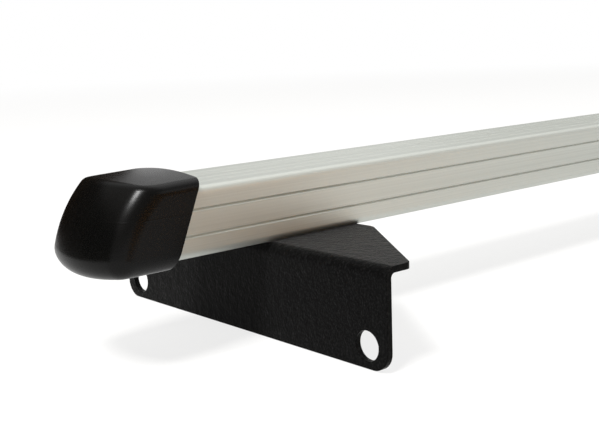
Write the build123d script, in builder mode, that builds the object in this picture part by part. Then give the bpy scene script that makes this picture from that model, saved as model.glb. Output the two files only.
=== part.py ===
from build123d import *
from math import cos, radians, sin, tan
import os

os.makedirs("parts", exist_ok=True)

# Roof rack crossbar: an extruded bar with two end caps, carried on two folded feet.
# X runs along the bar and Z is up. The origin is midway between the feet, at their lower edges.

# Bar extrusion
bar_length = 1200.0
bar_width = 35.0
bar_height = 22.0
bar_corner = 2.5
bar_wall = 1.8
bar_web = 1.6
cavity_corner = 1.0

# T-slot along the underside
slot_neck = 7.0
slot_lip = 2.2
slot_width = 13.0
slot_height = 5.5

# Fine V grooves along the sides and the top
groove_width = 1.0
groove_depth = 0.5
side_groove_pitch = 8.0
side_groove_count = 2
top_groove_pitch = 6.0
top_groove_count = 4

# Folded foot
foot_inset = 44.0
foot_length = 140.0
foot_height = 32.0
sheet = 2.0
bend_radius = 1.5
flange_depth = 42.0
flange_end = 10.0
flange_front = 47.0
flange_tip_radius = 2.5
flange_front_radius = 6.0
plate_corner = 6.0
car_hole = 9.5
car_hole_edge = 8.5
car_hole_height = 7.0

# Clamp bolts, washers and nuts
bolt_diameter = 6.0
bolt_length = 16.0
bolt_first = 14.0
bolt_pitch = 16.0
bolt_tip = 0.8
head_along = 10.0
head_height = 4.0
head_bevel = 0.8
washer_diameter = 12.0
washer_thickness = 1.6
spring_diameter = 11.0
spring_thickness = 1.6
spring_gap = 1.2
spring_slant = 25.0
nut_across = 10.0
nut_height = 5.2
nut_crown = 9.4
nut_bevel = 30.0

# End cap
cap_side = 2.5
cap_top = 4.1
cap_bottom = 3.3
cap_crown = 1.6
cap_fall = 1.2
cap_nose = 18.4
cap_top_end = 4.8
cap_face_bow = 3.2
cap_plan_radius = 45.0
cap_corner = 7.5
cap_top_edge = 3.5
cap_bottom_edge = 6.0
cap_grip = 16.0
cap_lean = 22.0
cap_wall = 2.4
cap_ledge = 2.4

# Clearances
slot_clearance = 0.3
bolt_clearance = 0.3
washer_clearance = 0.2
thread_clearance = 0.05
cap_clearance = 0.1

# Heights and places that follow from the sizes above
underside = foot_height
bar_end = bar_length / 2
plate_face = bar_end - foot_inset
bolt_places = (plate_face - bolt_first, plate_face - bolt_first - bolt_pitch)
car_hole_spacing = foot_length - 2 * car_hole_edge
flange_bottom = underside - sheet
washer_bottom = flange_bottom - washer_thickness
spring_bottom = washer_bottom - spring_thickness
slot_roof = slot_lip + slot_height
nut_reach = nut_across / 2 / cos(radians(30)) + thread_clearance


# The extrusion: two side chambers, one above the T-slot, and grooves in three faces.
side_chamber = bar_width / 2 - bar_wall - bar_web - slot_width / 2
chamber_height = bar_height - 2 * bar_wall
roof_chamber = bar_height - bar_wall - slot_roof - bar_wall

with BuildPart() as crossbar:
    with BuildSketch(Plane.YZ.offset(-bar_end)):
        with Locations((0, underside + bar_height / 2)):
            RectangleRounded(bar_width, bar_height, bar_corner)
            with GridLocations(slot_width + 2 * bar_web + side_chamber, 0, 2, 1):
                RectangleRounded(side_chamber, chamber_height, cavity_corner, mode=Mode.SUBTRACT)
        with Locations((0, underside + slot_roof + bar_wall + roof_chamber / 2)):
            RectangleRounded(slot_width, roof_chamber, cavity_corner, mode=Mode.SUBTRACT)
        with Locations((0, underside + slot_lip + slot_height / 2)):
            Rectangle(slot_width, slot_height, mode=Mode.SUBTRACT)
        with Locations((0, underside)):
            Rectangle(slot_neck, 2 * slot_lip, mode=Mode.SUBTRACT)
        vee = ((-groove_width, groove_depth), (0, -groove_depth), (groove_width, groove_depth))
        with Locations((0, underside + bar_height)):
            with GridLocations(top_groove_pitch, 0, top_groove_count, 1):
                Polygon(*vee, align=None, mode=Mode.SUBTRACT)
        for face, turn in ((-1, 90), (1, -90)):
            with Locations((face * bar_width / 2, underside + bar_height / 2)):
                with GridLocations(0, side_groove_pitch, 1, side_groove_count):
                    Polygon(*vee, rotation=turn, align=None, mode=Mode.SUBTRACT)
    extrude(amount=bar_length)
crossbar.part.label = "crossbar"
export_step(crossbar.part, "parts/crossbar.step")


# The end cap: a body with a crowned top and bottom, a nose turned about an upright axis so that
# its end face curves both ways, a leaning rear edge, and a socket that slips over the bar.
nose_x = cap_plan_radius - cap_nose - bar_end
rear_x = cap_top + cap_grip - bar_end
cap_middle = underside + bar_height / 2


def end_view(x, top):
    # The cap's outline as seen along the bar, with a top at the given height above the bar.
    half = bar_width / 2 + cap_side
    high = underside + bar_height + top
    low = underside - cap_bottom
    with BuildSketch(Plane.YZ.offset(x)) as view:
        with BuildLine():
            Line((half, high - cap_crown), (half, low + cap_crown))
            ThreePointArc((half, low + cap_crown), (0, low), (-half, low + cap_crown))
            Line((-half, low + cap_crown), (-half, high - cap_crown))
            ThreePointArc((-half, high - cap_crown), (0, high), (half, high - cap_crown))
        make_face()
    return view.sketch


def nose_profile(x):
    # Half of the nose's side view, outward from an upright axis at x.
    above = underside + bar_height + cap_top
    below = underside - cap_bottom
    reach = cap_plan_radius - cap_nose + cap_top_end
    with BuildSketch(Plane((x, 0, 0), x_dir=(1, 0, 0), z_dir=(0, -1, 0))) as profile:
        with BuildLine():
            SagittaArc((cap_plan_radius, below), (reach, above), -cap_face_bow)
            Polyline(
                (reach, above),
                (reach, above + cap_top),
                (0, above + cap_top),
                (0, below - cap_bottom),
                (cap_plan_radius, below - cap_bottom),
                (cap_plan_radius, below),
            )
        make_face()
    return profile.sketch


with BuildPart() as left_cap_hollow:
    revolve(nose_profile(nose_x + cap_wall), axis=Axis((nose_x + cap_wall, 0, 0), (0, 0, 1)))
    with BuildSketch(Plane.YZ.offset(-bar_end)):
        with Locations((0, cap_middle)):
            Rectangle(bar_width - 2 * cap_ledge, bar_height - 2 * cap_ledge)
    extrude(amount=-cap_nose, mode=Mode.INTERSECT)

with BuildPart() as left_end_cap:
    loft([end_view(rear_x, cap_top), end_view(-bar_end - cap_nose, cap_top - cap_fall)], ruled=True)
    revolve(nose_profile(nose_x), axis=Axis((nose_x, 0, 0), (0, 0, 1)), mode=Mode.INTERSECT)
    fillet([flank.edges().sort_by(Axis.X)[0] for flank in faces().filter_by(Axis.Y)], cap_corner)
    fillet(faces().sort_by(Axis.Z)[-1].edges().sort_by(Axis.X)[:-1], cap_top_edge)
    fillet(faces().sort_by(Axis.Z)[0].edges().sort_by(Axis.X)[:-1], cap_bottom_edge)
    rear_edge = (cap_grip - bar_end, 0, underside + bar_height)
    outward = (-cos(radians(cap_lean)), 0, sin(radians(cap_lean)))
    split(bisect_by=Plane(rear_edge, z_dir=outward))
    with BuildSketch(Plane.YZ.offset(-bar_end)):
        with Locations((0, cap_middle)):
            RectangleRounded(
                bar_width + 2 * cap_clearance,
                bar_height + 2 * cap_clearance,
                bar_corner + cap_clearance,
            )
    extrude(amount=bar_end, mode=Mode.SUBTRACT)
    add(left_cap_hollow.part, mode=Mode.SUBTRACT)
left_end_cap.part.label = "left_end_cap"
export_step(left_end_cap.part, "parts/left_end_cap.step")

with BuildPart() as right_end_cap:
    mirror(left_end_cap.part, about=Plane.YZ)
right_end_cap.part.label = "right_end_cap"
export_step(right_end_cap.part, "parts/right_end_cap.step")


# The foot is one folded sheet: a tapering flange under the bar and a plate across it.
with BuildPart() as left_bracket:
    with BuildSketch(Plane.XZ):
        with BuildLine():
            FilletPolyline(
                (-plate_face, 0),
                (-plate_face, underside),
                (flange_depth - plate_face, underside),
                radius=bend_radius + sheet,
            )
            offset(amount=sheet, side=Side.RIGHT)
        make_face()
    extrude(amount=foot_length / 2, both=True)
    with BuildSketch(Plane.XY):
        Polygon(
            (-plate_face, -foot_length / 2),
            (flange_end - plate_face, -foot_length / 2),
            (flange_depth - plate_face, -flange_front / 2),
            (flange_depth - plate_face, flange_front / 2),
            (flange_end - plate_face, foot_length / 2),
            (-plate_face, foot_length / 2),
            align=None,
        )
        fillet(vertices().group_by(Axis.X)[-1], flange_front_radius)
        fillet(vertices().group_by(Axis.X)[1], flange_tip_radius)
    extrude(amount=underside, mode=Mode.INTERSECT)
    fillet(edges().filter_by(Axis.X).group_by(Axis.Z)[0], plate_corner)
    with Locations(Plane((-plate_face, 0, car_hole_height), x_dir=(0, 1, 0), z_dir=(-1, 0, 0))):
        with GridLocations(car_hole_spacing, 0, 2, 1):
            Hole(car_hole / 2, depth=sheet)
    with Locations(*[(-place, 0, underside) for place in bolt_places]):
        Hole(bolt_diameter / 2 + bolt_clearance, depth=sheet)
left_bracket.part.label = "left_bracket"
export_step(left_bracket.part, "parts/left_bracket.step")

with BuildPart() as right_bracket:
    mirror(left_bracket.part, about=Plane.YZ)
right_bracket.part.label = "right_bracket"
export_step(right_bracket.part, "parts/right_bracket.step")


# Each foot hangs on two T-head bolts whose heads lie in the slot.
for end, side in (("left", -1), ("right", 1)):
    for row, place in (("outer", bolt_places[0]), ("inner", bolt_places[1])):
        x = side * place
        head_seat = Plane((x, 0, underside + slot_lip))
        with BuildPart() as bolt:
            with BuildSketch(head_seat):
                Rectangle(head_along, slot_width - 2 * slot_clearance)
            extrude(amount=head_height)
            chamfer(faces().sort_by(Axis.Z)[-1].edges(), head_bevel)
            with BuildSketch(head_seat):
                Circle(bolt_diameter / 2)
            extrude(amount=-bolt_length)
            chamfer(faces().sort_by(Axis.Z)[0].edges(), bolt_tip)
        bolt.part.label = f"{end}_{row}_bolt"
        export_step(bolt.part, f"parts/{end}_{row}_bolt.step")

        with BuildPart() as washer:
            with BuildSketch(Plane((x, 0, washer_bottom))):
                Circle(washer_diameter / 2)
                Circle(bolt_diameter / 2 + washer_clearance, mode=Mode.SUBTRACT)
            extrude(amount=washer_thickness)
        washer.part.label = f"{end}_{row}_washer"
        export_step(washer.part, f"parts/{end}_{row}_washer.step")

        with BuildPart() as spring:
            with BuildSketch(Plane((x, 0, spring_bottom))):
                Circle(spring_diameter / 2)
                Circle(bolt_diameter / 2 + washer_clearance, mode=Mode.SUBTRACT)
            extrude(amount=spring_thickness)
            with BuildSketch(Plane.YZ.offset(x)):
                with Locations((0, spring_bottom + spring_thickness / 2)):
                    Rectangle(spring_gap, 2 * spring_thickness, rotation=spring_slant)
            extrude(amount=spring_diameter, mode=Mode.SUBTRACT)
        spring.part.label = f"{end}_{row}_spring_washer"
        export_step(spring.part, f"parts/{end}_{row}_spring_washer.step")

        with BuildPart() as nut:
            with BuildSketch(Plane((x, 0, spring_bottom))):
                RegularPolygon(nut_across / 2, 6, major_radius=False)
            extrude(amount=-nut_height)
            slope = (nut_reach - nut_crown / 2) * tan(radians(nut_bevel))
            with BuildSketch(Plane((x, 0, spring_bottom), x_dir=(1, 0, 0), z_dir=(0, -1, 0))):
                Polygon(
                    (0, 0),
                    (nut_crown / 2, 0),
                    (nut_reach, -slope),
                    (nut_reach, slope - nut_height),
                    (nut_crown / 2, -nut_height),
                    (0, -nut_height),
                    align=None,
                )
            revolve(axis=Axis((x, 0, 0), (0, 0, 1)), mode=Mode.INTERSECT)
            with Locations((x, 0, spring_bottom)):
                Hole(bolt_diameter / 2 + thread_clearance, depth=nut_height)
        nut.part.label = f"{end}_{row}_nut"
        export_step(nut.part, f"parts/{end}_{row}_nut.step")
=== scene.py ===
import bpy
import bmesh
from math import cos, pi, radians, sin
from mathutils import Matrix, Vector


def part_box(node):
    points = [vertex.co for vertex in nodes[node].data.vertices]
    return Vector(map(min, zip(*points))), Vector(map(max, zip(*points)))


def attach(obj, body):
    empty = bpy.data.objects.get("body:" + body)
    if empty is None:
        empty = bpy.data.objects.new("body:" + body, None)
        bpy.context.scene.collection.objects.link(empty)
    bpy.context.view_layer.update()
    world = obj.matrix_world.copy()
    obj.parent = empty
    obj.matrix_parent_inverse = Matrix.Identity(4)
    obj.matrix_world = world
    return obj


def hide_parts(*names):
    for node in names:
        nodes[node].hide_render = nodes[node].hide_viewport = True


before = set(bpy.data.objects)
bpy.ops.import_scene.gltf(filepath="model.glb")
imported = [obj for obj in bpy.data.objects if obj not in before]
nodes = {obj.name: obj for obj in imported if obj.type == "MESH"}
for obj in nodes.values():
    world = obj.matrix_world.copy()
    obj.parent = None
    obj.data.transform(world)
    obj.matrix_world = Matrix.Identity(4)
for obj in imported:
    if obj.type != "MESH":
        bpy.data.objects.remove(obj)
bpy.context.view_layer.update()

mixShare, mixFirst, mixSecond, mixColour = 0, 6, 7, 2  # a colour mix's three inputs and its output


def toLinear(hexColour):
    channels = [int(hexColour[i:i + 2], 16) / 255 for i in (1, 3, 5)]
    return [c / 12.92 if c <= 0.04045 else ((c + 0.055) / 1.055) ** 2.4 for c in channels] + [1.0]


def addNode(tree, kind, inputs=None, **settings):
    node = tree.nodes.new(kind)
    for name, value in settings.items():
        setattr(node, name, value)
    for socket, value in (inputs or {}).items():
        if isinstance(value, bpy.types.NodeSocket):
            tree.links.new(value, node.inputs[socket])
        else:
            node.inputs[socket].default_value = value
    return node


def startFinish(name):
    finish = bpy.data.materials.new(name)
    finish.use_nodes = True
    finish.node_tree.nodes.clear()
    return finish, finish.node_tree


def perMetre(sizeMm):
    return 1000.0 / sizeMm  # texture scale that makes one feature this many mm wide


# In the finishes below, pattern sizes are in mm, and depths, edges and the parting line in metres.

# Anodised aluminium, extruded: the die draws fine lines along the bar, and the etched oxide
# skin turns the bare mirror into a soft, even silver.
barAluminium = {
    "colour": "#cccfc9", "lineColour": "#c3c6c0", "lineTone": (0.12, 0.40),
    "lineWidth": 0.45, "lineLength": 500.0,  # real die lines are 0.1 to 0.3 mm wide, drawn coarser to show
    "bandWidth": 5.0, "bandLength": 900.0,
    "grain": 0.5,  # etch grain is under 0.1 mm, drawn coarser
    "roughness": (0.50, 0.58), "softTone": (0.7, 1.3),
    "lineDepth": 0.00001, "lineStrength": 0.18,
}
anodised, tree = startFinish("anodised extruded aluminium")
place = addNode(tree, "ShaderNodeTexCoord").outputs["Object"]
lineScale, bandScale = perMetre(barAluminium["lineWidth"]), perMetre(barAluminium["bandWidth"])
alongLines = addNode(tree, "ShaderNodeMapping", {
    "Vector": place, "Scale": (perMetre(barAluminium["lineLength"]), lineScale, lineScale)})
dieLines = addNode(tree, "ShaderNodeTexNoise", {
    "Vector": alongLines.outputs["Vector"], "Scale": 1.0, "Detail": 2.0, "Roughness": 0.6})
alongBands = addNode(tree, "ShaderNodeMapping", {
    "Vector": place, "Scale": (perMetre(barAluminium["bandLength"]), bandScale, bandScale)})
bands = addNode(tree, "ShaderNodeTexNoise", {
    "Vector": alongBands.outputs["Vector"], "Scale": 1.0, "Detail": 1.0})
etch = addNode(tree, "ShaderNodeTexNoise", {
    "Vector": place, "Scale": perMetre(barAluminium["grain"]), "Detail": 2.0})
streaks = addNode(tree, "ShaderNodeMath", {
    0: dieLines.outputs["Fac"], 1: bands.outputs["Fac"]}, operation="MULTIPLY")
tone = addNode(tree, "ShaderNodeMapRange", {
    "Value": streaks.outputs[0],
    "From Min": barAluminium["lineTone"][0], "From Max": barAluminium["lineTone"][1]})
colour = addNode(tree, "ShaderNodeMix", {
    mixShare: tone.outputs["Result"],
    mixFirst: toLinear(barAluminium["colour"]),
    mixSecond: toLinear(barAluminium["lineColour"])}, data_type="RGBA")
soft = addNode(tree, "ShaderNodeMath", {
    0: dieLines.outputs["Fac"], 1: etch.outputs["Fac"]}, operation="ADD")
roughness = addNode(tree, "ShaderNodeMapRange", {
    "Value": soft.outputs[0],
    "From Min": barAluminium["softTone"][0], "From Max": barAluminium["softTone"][1],
    "To Min": barAluminium["roughness"][0], "To Max": barAluminium["roughness"][1]})
lineBump = addNode(tree, "ShaderNodeBump", {
    "Height": dieLines.outputs["Fac"],
    "Strength": barAluminium["lineStrength"], "Distance": barAluminium["lineDepth"]})
shader = addNode(tree, "ShaderNodeBsdfPrincipled", {
    "Base Color": colour.outputs[mixColour], "Metallic": 1.0,
    "Roughness": roughness.outputs["Result"], "Normal": lineBump.outputs["Normal"]})
addNode(tree, "ShaderNodeOutputMaterial", {"Surface": shader.outputs["BSDF"]})

# Moulded plastic, a black nylon blend from a finely spark-eroded mould: deep black with soft,
# clear highlights on the rounded edges and a faint satin grain on the flats.
capPlastic = {
    "colour": "#050505", "bloomColour": "#090908", "bloom": 14.0,
    "grain": 0.4,  # eroded texture is about 0.05 mm, drawn coarser
    "roughness": (0.25, 0.31), "cloudTone": (0.7, 1.3),
    "grainDepth": 0.000008, "grainStrength": 0.3,
    "partingHeight": 0.0466, "partingWidth": 0.0004,  # faint line where the mould halves met
    "partingDepth": 0.00003, "partingStrength": 0.5,
    "refraction": 1.50, "specular": 0.14,
}
moulded, tree = startFinish("black moulded plastic")
place = addNode(tree, "ShaderNodeTexCoord").outputs["Object"]
grain = addNode(tree, "ShaderNodeTexNoise", {
    "Vector": place, "Scale": perMetre(capPlastic["grain"]), "Detail": 2.0})
bloom = addNode(tree, "ShaderNodeTexNoise", {
    "Vector": place, "Scale": perMetre(capPlastic["bloom"]), "Detail": 2.0})
colour = addNode(tree, "ShaderNodeMix", {
    mixShare: bloom.outputs["Fac"],
    mixFirst: toLinear(capPlastic["colour"]),
    mixSecond: toLinear(capPlastic["bloomColour"])}, data_type="RGBA")
cloud = addNode(tree, "ShaderNodeMath", {
    0: bloom.outputs["Fac"], 1: grain.outputs["Fac"]}, operation="ADD")
roughness = addNode(tree, "ShaderNodeMapRange", {
    "Value": cloud.outputs[0],
    "From Min": capPlastic["cloudTone"][0], "From Max": capPlastic["cloudTone"][1],
    "To Min": capPlastic["roughness"][0], "To Max": capPlastic["roughness"][1]})
grainBump = addNode(tree, "ShaderNodeBump", {
    "Height": grain.outputs["Fac"],
    "Strength": capPlastic["grainStrength"], "Distance": capPlastic["grainDepth"]})
height = addNode(tree, "ShaderNodeSeparateXYZ", {"Vector": place})
aboveLine = addNode(tree, "ShaderNodeMath", {
    0: height.outputs["Z"], 1: capPlastic["partingHeight"]}, operation="SUBTRACT")
fromLine = addNode(tree, "ShaderNodeMath", {0: aboveLine.outputs[0]}, operation="ABSOLUTE")
partingLine = addNode(tree, "ShaderNodeMapRange", {
    "Value": fromLine.outputs[0], "From Max": capPlastic["partingWidth"],
    "To Min": 1.0, "To Max": 0.0}, interpolation_type="SMOOTHSTEP")
partingBump = addNode(tree, "ShaderNodeBump", {
    "Height": partingLine.outputs["Result"], "Normal": grainBump.outputs["Normal"],
    "Strength": capPlastic["partingStrength"], "Distance": capPlastic["partingDepth"]})
shader = addNode(tree, "ShaderNodeBsdfPrincipled", {
    "Base Color": colour.outputs[mixColour],
    "IOR": capPlastic["refraction"], "Specular IOR Level": capPlastic["specular"],
    "Roughness": roughness.outputs["Result"], "Normal": partingBump.outputs["Normal"]})
addNode(tree, "ShaderNodeOutputMaterial", {"Surface": shader.outputs["BSDF"]})

# Powder-coated steel sheet: the baked powder flows into a fine orange peel, black with a
# speckled sheen, and thins to a soft line along folds and cut edges.
bracketCoat = {
    "colour": "#030303", "speckColour": "#191919", "speckTone": (0.50, 0.68),
    "peel": 2.4, "speck": 0.8,  # powder specks are about 0.1 mm, drawn coarser
    "roughness": (0.46, 0.64), "roughTone": (0.3, 0.7),
    "peelDepth": 0.00028, "peelStrength": 0.8,
    "speckDepth": 0.00022, "speckStrength": 1.0,
    "edgeRadius": 0.0004, "edgeSamples": 6,
    "refraction": 1.50, "specular": 0.04, "sheen": 0.40, "sheenRoughness": 0.25,
}
coated, tree = startFinish("black powder-coated steel")
place = addNode(tree, "ShaderNodeTexCoord").outputs["Object"]
peel = addNode(tree, "ShaderNodeTexNoise", {
    "Vector": place, "Scale": perMetre(bracketCoat["peel"]), "Detail": 1.0})
speck = addNode(tree, "ShaderNodeTexNoise", {
    "Vector": place, "Scale": perMetre(bracketCoat["speck"]), "Detail": 3.0, "Roughness": 0.7})
dots = addNode(tree, "ShaderNodeMapRange", {
    "Value": speck.outputs["Fac"],
    "From Min": bracketCoat["speckTone"][0], "From Max": bracketCoat["speckTone"][1]})
colour = addNode(tree, "ShaderNodeMix", {
    mixShare: dots.outputs["Result"],
    mixFirst: toLinear(bracketCoat["colour"]),
    mixSecond: toLinear(bracketCoat["speckColour"])}, data_type="RGBA")
roughness = addNode(tree, "ShaderNodeMapRange", {
    "Value": speck.outputs["Fac"],
    "From Min": bracketCoat["roughTone"][0], "From Max": bracketCoat["roughTone"][1],
    "To Min": bracketCoat["roughness"][0], "To Max": bracketCoat["roughness"][1]})
roundEdge = addNode(tree, "ShaderNodeBevel", {
    "Radius": bracketCoat["edgeRadius"]}, samples=bracketCoat["edgeSamples"])
peelBump = addNode(tree, "ShaderNodeBump", {
    "Height": peel.outputs["Fac"], "Normal": roundEdge.outputs["Normal"],
    "Strength": bracketCoat["peelStrength"], "Distance": bracketCoat["peelDepth"]})
speckBump = addNode(tree, "ShaderNodeBump", {
    "Height": speck.outputs["Fac"], "Normal": peelBump.outputs["Normal"],
    "Strength": bracketCoat["speckStrength"], "Distance": bracketCoat["speckDepth"]})
shader = addNode(tree, "ShaderNodeBsdfPrincipled", {
    "Base Color": colour.outputs[mixColour],
    "IOR": bracketCoat["refraction"], "Specular IOR Level": bracketCoat["specular"],
    "Sheen Weight": bracketCoat["sheen"], "Sheen Roughness": bracketCoat["sheenRoughness"],
    "Roughness": roughness.outputs["Result"], "Normal": speckBump.outputs["Normal"]})
addNode(tree, "ShaderNodeOutputMaterial", {"Surface": shader.outputs["BSDF"]})

# Zinc-plated steel: bright grey metal with the faint blue and straw clouds of its passivation,
# smoother on the bolts, nuts and flat washers and duller on the tempered spring washers.
zincPlate = {
    "bright zinc-plated steel": {"colour": "#bdbcb5", "cloudColour": "#adb3b6", "roughness": (0.26, 0.40)},
    "dull zinc-plated spring steel": {"colour": "#96948e", "cloudColour": "#86898a", "roughness": (0.36, 0.50)},
}
plating = {
    "cloud": 3.5, "cloudTone": (0.35, 0.65),
    "mark": 0.4, "markTone": (0.3, 0.7),  # small dents from the plating barrel
    "markDepth": 0.00002, "markStrength": 0.15,
}
zinc = {}
for name, plate in zincPlate.items():
    zinc[name], tree = startFinish(name)
    place = addNode(tree, "ShaderNodeTexCoord").outputs["Object"]
    clouds = addNode(tree, "ShaderNodeTexNoise", {
        "Vector": place, "Scale": perMetre(plating["cloud"]), "Detail": 3.0})
    marks = addNode(tree, "ShaderNodeTexNoise", {
        "Vector": place, "Scale": perMetre(plating["mark"]), "Detail": 2.0})
    tint = addNode(tree, "ShaderNodeMapRange", {
        "Value": clouds.outputs["Fac"],
        "From Min": plating["cloudTone"][0], "From Max": plating["cloudTone"][1]})
    colour = addNode(tree, "ShaderNodeMix", {
        mixShare: tint.outputs["Result"],
        mixFirst: toLinear(plate["colour"]),
        mixSecond: toLinear(plate["cloudColour"])}, data_type="RGBA")
    roughness = addNode(tree, "ShaderNodeMapRange", {
        "Value": marks.outputs["Fac"],
        "From Min": plating["markTone"][0], "From Max": plating["markTone"][1],
        "To Min": plate["roughness"][0], "To Max": plate["roughness"][1]})
    markBump = addNode(tree, "ShaderNodeBump", {
        "Height": marks.outputs["Fac"],
        "Strength": plating["markStrength"], "Distance": plating["markDepth"]})
    shader = addNode(tree, "ShaderNodeBsdfPrincipled", {
        "Base Color": colour.outputs[mixColour], "Metallic": 1.0,
        "Roughness": roughness.outputs["Result"], "Normal": markBump.outputs["Normal"]})
    addNode(tree, "ShaderNodeOutputMaterial", {"Surface": shader.outputs["BSDF"]})
brightZinc, dullZinc = zinc.values()
print("finishes made")

finishes = {"crossbar": anodised, "end_cap": moulded, "bracket": coated, "spring_washer": dullZinc}
for name, node in nodes.items():
    finish = next((made for ending, made in finishes.items() if name.endswith(ending)), brightZinc)
    for materialSlot in node.material_slots:
        materialSlot.material = finish
print("finishes on the CAD nodes")

# T-head bolts with a rolled M6 thread, in place of the plain solids. Lengths are in mm.
tBolt = {
    "radius": 3.0, "pitch": 1.0, "threadDepth": 0.6,
    "crestFlat": 0.125, "rootFlat": 0.25,  # shares of the pitch
    "headHeight": 4.0, "headBevel": 0.8, "tip": 0.8,
    "sides": 40, "stepsPerTurn": 8,
}


def threadRadius(fromTip, share):
    flank = 1 - tBolt["crestFlat"] - tBolt["rootFlat"]
    phase = abs(2 * ((fromTip / tBolt["pitch"] - share) % 1.0) - 1)  # 0 on the crest, 1 in the root
    cut = min(max((phase - tBolt["crestFlat"]) / flank, 0), 1)
    return min(tBolt["radius"] - tBolt["threadDepth"] * cut, tBolt["radius"] - tBolt["tip"] + fromTip)


def boltMesh(name, low, high):
    centre = (low + high) / 2
    seat = high.z - tBolt["headHeight"] / 1000
    shank = (seat - low.z) * 1000
    steps = round(shank / tBolt["pitch"] * tBolt["stepsPerTurn"])
    sides = tBolt["sides"]
    bm = bmesh.new()
    rings = []
    for i in range(steps + 1):
        fromTip = shank * i / steps
        ring = []
        for k in range(sides):
            turn = 2 * pi * k / sides
            r = threadRadius(fromTip, k / sides) / 1000
            ring.append(bm.verts.new((
                centre.x + r * cos(turn), centre.y + r * sin(turn), low.z + fromTip / 1000)))
        rings.append(ring)
    for a, b in zip(rings, rings[1:]):
        for k in range(sides):
            n = (k + 1) % sides
            bm.faces.new((a[k], a[n], b[n], b[k])).smooth = True
    bm.faces.new(rings[0][::-1])
    bevel = tBolt["headBevel"] / 1000
    levels = []
    for z, inset in ((seat, 0), (high.z - bevel, 0), (high.z, bevel)):
        left, right, front, back = low.x + inset, high.x - inset, low.y + inset, high.y - inset
        corners = ((left, front), (right, front), (right, back), (left, back))
        levels.append([bm.verts.new((x, y, z)) for x, y in corners])
    bm.faces.new(levels[-1])
    for a, b in zip(levels, levels[1:]):
        for k in range(len(a)):
            n = (k + 1) % len(a)
            bm.faces.new((a[k], a[n], b[n], b[k]))
    rims = [bm.edges.get((rim[k - 1], rim[k])) for rim in (rings[-1], levels[0]) for k in range(len(rim))]
    bmesh.ops.triangle_fill(bm, edges=rims, use_beauty=True)  # the head's seat, round the shank
    bmesh.ops.recalc_face_normals(bm, faces=bm.faces)
    mesh = bpy.data.meshes.new(name)
    bm.to_mesh(mesh)
    bm.free()
    mesh.materials.append(brightZinc)
    return mesh


for end in ("left", "right"):
    for row in ("outer", "inner"):
        solid = f"{end}_{row}_bolt"
        name = f"{end}_{row}_threaded_bolt"
        bolt = bpy.data.objects.new(name, boltMesh(name, *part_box(solid)))
        bpy.context.collection.objects.link(bolt)
        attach(bolt, f"{end}_foot")
        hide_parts(solid)
print("threaded bolts made")

# Pale floor: matt paper that reads as white and keeps the soft shadow
floorSheet = {
    "size": 60.0, "drop": 0.0002, "colour": "#f6f5f2", "glow": "#ffffff",
    "lift": 0.78, "clear": (0.7, 2.0),  # white from 2 m out, where no shadow falls
}
mesh = bpy.data.meshes.new("floor")
half = floorSheet["size"] / 2
mesh.from_pydata([(-half, -half, 0), (half, -half, 0), (half, half, 0), (-half, half, 0)], [], [(0, 1, 2, 3)])
floor = bpy.data.objects.new("floor", mesh)
floor.location.z = -floorSheet["drop"]
bpy.context.collection.objects.link(floor)
paper, tree = startFinish("matt white paper")
ray = addNode(tree, "ShaderNodeLightPath")
direct = addNode(tree, "ShaderNodeMath", {
    0: ray.outputs["Is Camera Ray"], 1: ray.outputs["Is Glossy Ray"]}, operation="MAXIMUM")
seen = addNode(tree, "ShaderNodeMath", {
    0: direct.outputs[0], 1: ray.outputs["Is Transmission Ray"]}, operation="MAXIMUM")
place = addNode(tree, "ShaderNodeTexCoord").outputs["Object"]
away = addNode(tree, "ShaderNodeVectorMath", {0: place}, operation="LENGTH")
lift = addNode(tree, "ShaderNodeMapRange", {
    "Value": away.outputs["Value"],
    "From Min": floorSheet["clear"][0], "From Max": floorSheet["clear"][1],
    "To Min": floorSheet["lift"], "To Max": 1.0}, interpolation_type="SMOOTHSTEP")
share = addNode(tree, "ShaderNodeMath", {
    0: seen.outputs[0], 1: lift.outputs["Result"]}, operation="MULTIPLY")
matt = addNode(tree, "ShaderNodeBsdfDiffuse", {"Color": toLinear(floorSheet["colour"])})
white = addNode(tree, "ShaderNodeEmission", {"Color": toLinear(floorSheet["glow"]), "Strength": 1.0})
both = addNode(tree, "ShaderNodeMixShader", {
    0: share.outputs[0], 1: matt.outputs["BSDF"], 2: white.outputs["Emission"]})
addNode(tree, "ShaderNodeOutputMaterial", {"Surface": both.outputs["Shader"]})
mesh.materials.append(paper)

# Curved cards round the left end that only reflections see: the dark one keeps the cap black against
# the white, the warm one tints the side of the bar near the cap and the grey one tones its top further on
cards = {
    "dark_card": {"radius": 0.5, "from": 57.0, "to": 188.0, "height": 0.42, "colour": "#20170e"},
    "warm_card": {"radius": 0.4, "from": 262.0, "to": 316.0, "height": 0.18, "colour": "#c08843"},
    "grey_card": {"radius": 0.9, "from": 14.0, "to": 34.0, "height": 0.45, "colour": "#5c5e59"},
}
cardCentre, cardBends = (-0.615, 0.0), 16
for name, sheet in cards.items():
    edge = []
    for i in range(cardBends + 1):
        turn = radians(sheet["from"] + (sheet["to"] - sheet["from"]) * i / cardBends)
        x, y = cardCentre[0] + sheet["radius"] * cos(turn), cardCentre[1] + sheet["radius"] * sin(turn)
        edge += [(x, y, 0), (x, y, sheet["height"])]
    mesh = bpy.data.meshes.new(name)
    mesh.from_pydata(edge, [], [(2 * i, 2 * i + 1, 2 * i + 3, 2 * i + 2) for i in range(cardBends)])
    card = bpy.data.objects.new(name, mesh)
    card.visible_camera = card.visible_diffuse = card.visible_transmission = card.visible_shadow = False
    bpy.context.collection.objects.link(card)
    cardboard, tree = startFinish(f"matt {name[:4]} card")
    matt = addNode(tree, "ShaderNodeBsdfDiffuse", {"Color": toLinear(sheet["colour"])})
    addNode(tree, "ShaderNodeOutputMaterial", {"Surface": matt.outputs["BSDF"]})
    mesh.materials.append(cardboard)

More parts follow.
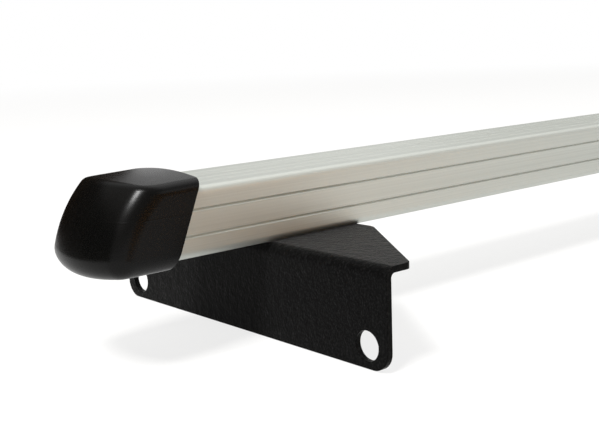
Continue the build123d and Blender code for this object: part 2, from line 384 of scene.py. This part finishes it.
# Studio: white behind the bar and low down all round, dimmer and warmer in front, with a soft box
# overhead, a lamp high at the left and a weak fill in front
studio = {
    "front": "#a5a09a", "back": "#ffffff", "backWay": (0.787, 0.551, 0.276), "backSpread": (-0.1, 0.75),
    "sweep": (0.08, 0.36), "upper": 0.78, "upperStart": (0.05, 0.2),
}
world = bpy.data.worlds.new("studio")
world.use_nodes = True
tree = world.node_tree
tree.nodes.clear()
way = addNode(tree, "ShaderNodeTexCoord").outputs["Generated"]
facing = addNode(tree, "ShaderNodeVectorMath", {0: way, 1: studio["backWay"]}, operation="DOT_PRODUCT")
share = addNode(tree, "ShaderNodeMapRange", {
    "Value": facing.outputs["Value"],
    "From Min": studio["backSpread"][0], "From Max": studio["backSpread"][1]}, interpolation_type="SMOOTHSTEP")
wall = addNode(tree, "ShaderNodeMix", {
    mixShare: share.outputs["Result"],
    mixFirst: toLinear(studio["front"]),
    mixSecond: toLinear(studio["back"])}, data_type="RGBA")
height = addNode(tree, "ShaderNodeSeparateXYZ", {"Vector": way})
low = addNode(tree, "ShaderNodeMapRange", {
    "Value": height.outputs["Z"],
    "From Min": studio["sweep"][0], "From Max": studio["sweep"][1],
    "To Min": 1.0, "To Max": 0.0}, interpolation_type="SMOOTHSTEP")
sky = addNode(tree, "ShaderNodeMix", {
    mixShare: low.outputs["Result"],
    mixFirst: wall.outputs[mixColour],
    mixSecond: toLinear(studio["back"])}, data_type="RGBA")
dimming = addNode(tree, "ShaderNodeMapRange", {
    "Value": height.outputs["Z"],
    "From Min": studio["upperStart"][0], "From Max": studio["upperStart"][1],
    "To Min": 1.0, "To Max": studio["upper"]}, interpolation_type="SMOOTHSTEP")
glow = addNode(tree, "ShaderNodeBackground", {
    "Color": sky.outputs[mixColour], "Strength": dimming.outputs["Result"]})
addNode(tree, "ShaderNodeOutputWorld", {"Surface": glow.outputs["Background"]})
bpy.context.scene.world = world

lamps = {
    "overhead soft box": {"at": (0.43, 0.16, 1.30), "aim": (-0.5, 0.0, 0.03), "size": (1.3, 1.2), "power": 4.0},
    "high left lamp": {"at": (-1.445, -0.27, 1.60), "aim": (-0.6, 0.0, 0.05), "size": (0.42, 0.42), "power": 40.0},
    "front fill": {"at": (0.2, -1.13, 0.67), "aim": (-0.55, 0.0, 0.04), "size": (0.8, 0.6), "power": 1.2},
}
for name, lamp in lamps.items():
    light = bpy.data.lights.new(name, "AREA")
    light.shape = "RECTANGLE"
    light.size, light.size_y = lamp["size"]
    light.energy = lamp["power"]
    holder = bpy.data.objects.new(name, light)
    holder.location = lamp["at"]
    holder.rotation_euler = (Vector(lamp["aim"]) - Vector(lamp["at"])).to_track_quat("-Z", "Y").to_euler()
    bpy.context.collection.objects.link(holder)
print("floor and light set")

# Camera at the photograph's viewpoint, for an image of 599 x 436
photoView = {
    "at": (-0.75715, -0.26488, 0.09872), "yaw": 49.044, "pitch": 10.436, "roll": 2.011,
    "focalPixels": 1006.7, "imageWidth": 599, "sensorWidth": 36.0, "nearest": 0.01,
}
yaw, pitch, roll = (radians(photoView[turn]) for turn in ("yaw", "pitch", "roll"))
forward = Vector((cos(pitch) * cos(yaw), cos(pitch) * sin(yaw), -sin(pitch)))
level = Vector((sin(yaw), -cos(yaw), 0))
plumb = forward.cross(level)
right = cos(roll) * level + sin(roll) * plumb
down = -sin(roll) * level + cos(roll) * plumb
lens = bpy.data.cameras.new("photo view")
lens.sensor_fit = "HORIZONTAL"
lens.sensor_width = photoView["sensorWidth"]
lens.lens = photoView["focalPixels"] * photoView["sensorWidth"] / photoView["imageWidth"]
lens.clip_start = photoView["nearest"]
camera = bpy.data.objects.new("photo view", lens)
camera.matrix_world = Matrix.Translation(photoView["at"]) @ Matrix((right, -down, -forward)).transposed().to_4x4()
bpy.context.collection.objects.link(camera)
bpy.context.scene.camera = camera
bpy.context.scene.view_settings.view_transform = "Standard"
print("camera set")
